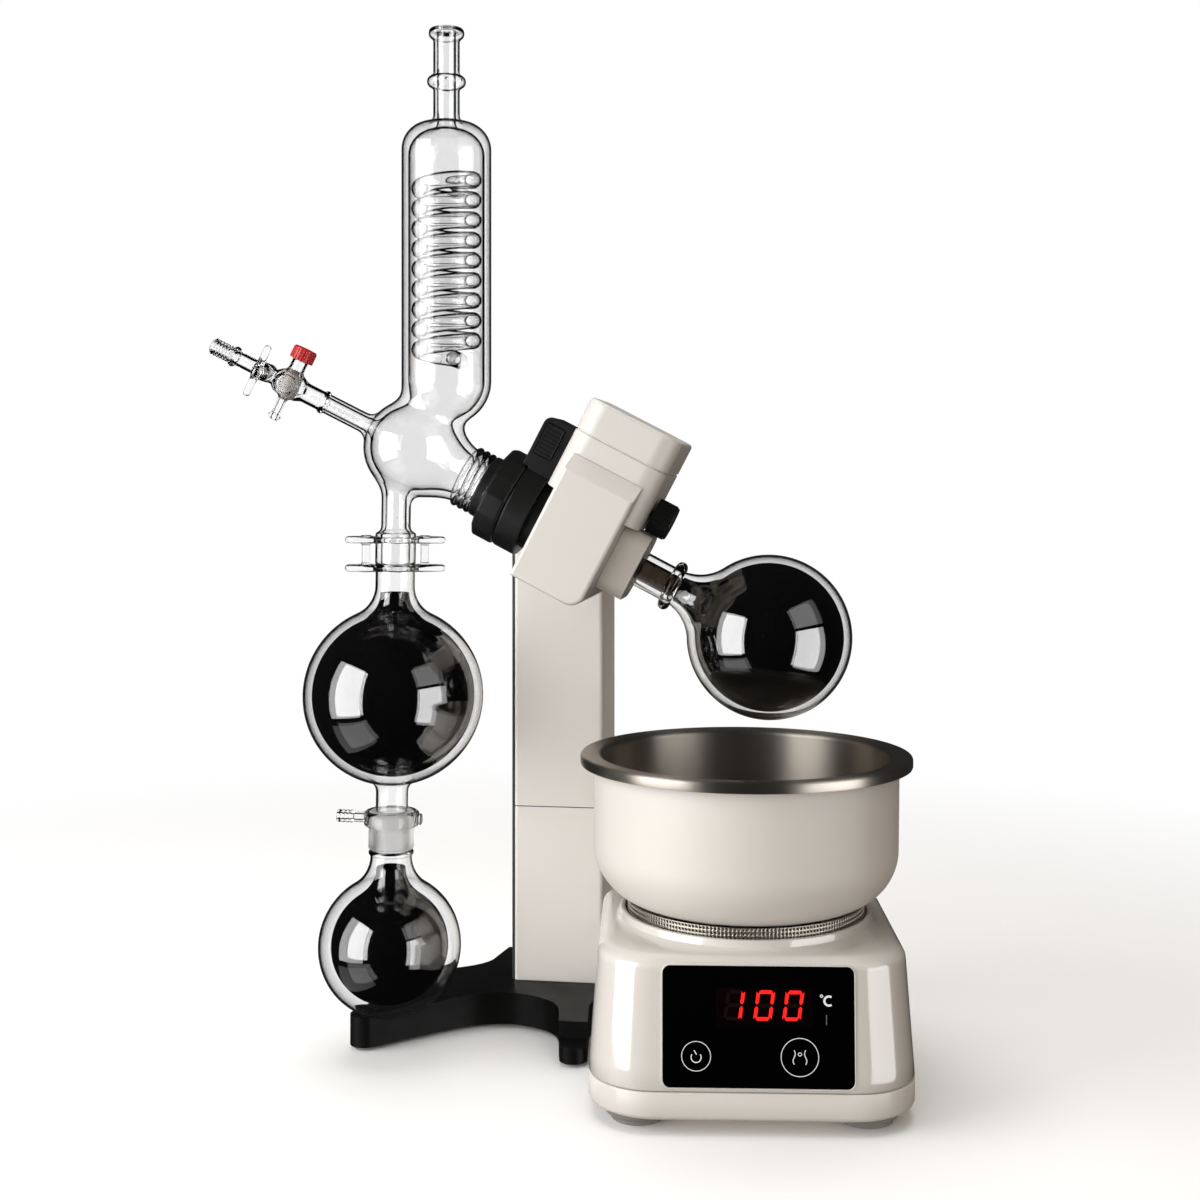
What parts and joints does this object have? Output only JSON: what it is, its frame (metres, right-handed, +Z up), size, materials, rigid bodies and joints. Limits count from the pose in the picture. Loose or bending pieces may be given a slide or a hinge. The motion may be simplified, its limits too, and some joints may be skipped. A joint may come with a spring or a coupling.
{
  "type": "rotary evaporator",
  "caption": "Rotary evaporator: lifting column stand, tilting gear head with condenser and flasks, separate heating bath.",
  "frame": {"origin": "on the bench, at the middle of the whole apparatus as seen from above", "axes": "+X to the right as the user faces the panel, +Y to the back, +Z up"},
  "size_m": [0.5744, 0.3445, 0.8365],
  "materials": {
    "white_enamel": "fine satin paint, warm white",
    "grey_collar": "satin",
    "black_cast": "black paint, satin",
    "black_plastic": "satin",
    "black_glass": "polished",
    "dark_strip": "matte",
    "clear_glass": "clear blown glass",
    "frosted_glass": "ground, frosted",
    "clear_plastic": "clear, polished",
    "dark_contents": "glossy surface of a black liquid",
    "bright_steel": "brushed round the rim",
    "machined_steel": "turned",
    "silver": "satin",
    "gear_plastic": "moulded",
    "seal_plastic": "moulded, slippery",
    "red_plastic": "moulded, ribbed",
    "grey_plastic": "moulded",
    "grey_rubber": "matte",
    "dark_display": "dark red window"
  },
  "bodies": {
    "stand": {"foot": "black_cast", "foot_pads": "grey_rubber", "column_lower_cover": "white_enamel", "column_guide": "dark_strip", "mast": "silver", "lift_actuator": "silver", "stand_inlet": "black_plastic"},
    "carriage": {"column_upper_cover": "white_enamel", "tilt_bracket": "white_enamel", "lift_rod": "machined_steel", "guide_shoe": "grey_plastic"},
    "head": {"head_case": "white_enamel", "head_front_cover": "white_enamel", "gear_cover": "silver", "spindle_bearings": "machined_steel", "drive_motor": "machined_steel", "head_body": "white_enamel", "head_cap": "white_enamel", "outlet_collar": "grey_collar", "speed_control": "grey_plastic", "tilt_pin": "machined_steel", "thread_ring": "black_plastic", "vacuum_seal": "seal_plastic", "arm_sleeve": "silver", "latch_block": "black_plastic", "latch_spring": "machined_steel", "condenser_body": "clear_glass", "cooling_coil": "clear_glass", "feed_valve_body": "clear_glass", "feed_plug": "grey_plastic", "joint_clip": "clear_plastic", "receiving_flask": "clear_glass", "receiver_contents": "dark_contents", "drain_ring": "clear_glass", "drain_cone": "frosted_glass", "lower_flask": "clear_glass", "lower_contents": "dark_contents"},
    "rotor": {"spindle": "machined_steel", "spindle_gear": "gear_plastic", "neck_collet": "seal_plastic", "vapour_duct": "clear_glass", "evaporating_flask": "clear_glass", "evaporating_contents": "dark_contents"},
    "pinion": {"motor_pinion": "machined_steel"},
    "nut": {"coupling_nut": "black_plastic"},
    "tab": {"latch_tab": "black_plastic"},
    "knob": {"speed_knob": "black_plastic"},
    "key": {"feed_key": "clear_glass"},
    "cap": {"feed_cap": "red_plastic"},
    "bath": {"bath_housing": "white_enamel", "bath_skirt": "white_enamel", "bath_feet": "grey_rubber", "vent_ring": "bright_steel", "bath_bowl": "white_enamel", "bath_pan": "bright_steel", "heater_plate": "silver", "control_panel": "black_glass", "display_module": "dark_display", "bath_inlet": "black_plastic"}
  },
  "joints": [
    {"name": "lift", "type": "slide", "parent": "stand", "child": "carriage", "axis": [0, 0, 1], "range_m": [0, 0.12]},
    {"name": "head_tilt", "type": "hinge", "parent": "carriage", "child": "head", "pos_m": [0.0197, 0.02, 0.43764], "axis": [0, 1, 0], "range_deg": [0, 30]},
    {"name": "flask_turn", "type": "hinge", "parent": "head", "child": "rotor", "pos_m": [0.012, -0.046, 0.4315], "axis": [0.887, 0, -0.4617], "continuous": true},
    {"name": "motor_turn", "type": "hinge", "parent": "head", "child": "pinion", "pos_m": [0.03057, -0.01225, 0.46717], "axis": [0.887, 0, -0.4617], "continuous": true},
    {"name": "nut_turn", "type": "hinge", "parent": "head", "child": "nut", "pos_m": [-0.01461, -0.046, 0.44535], "axis": [0.887, 0, -0.4617], "range_deg": [0, 90]},
    {"name": "latch_press", "type": "slide", "parent": "head", "child": "tab", "axis": [0, 1, 0], "range_m": [0, 0.0025], "stiffness_N_per_m": 300, "springref_m": -0.001},
    {"name": "speed_turn", "type": "hinge", "parent": "head", "child": "knob", "pos_m": [0.07177, -0.046, 0.44886], "axis": [0.887, 0, -0.4617], "range_deg": [0, 270]},
    {"name": "key_turn", "type": "hinge", "parent": "head", "child": "key", "pos_m": [-0.2386, -0.046, 0.55949], "axis": [0, 1, 0], "range_deg": [0, 90]},
    {"name": "cap_turn", "type": "hinge", "parent": "head", "child": "cap", "pos_m": [-0.21803, -0.046, 0.54919], "axis": [0.4478, 0, 0.8942], "range_deg": [0, 180]},
    {"name": "bath_push", "type": "slide", "parent": "stand", "child": "bath", "axis": [1, 0, 0], "range_m": [0, 0.2]}
  ],
  "couplings": [
    {"joint": "motor_turn", "follows": "flask_turn", "ratio": -2.5}
  ]
}
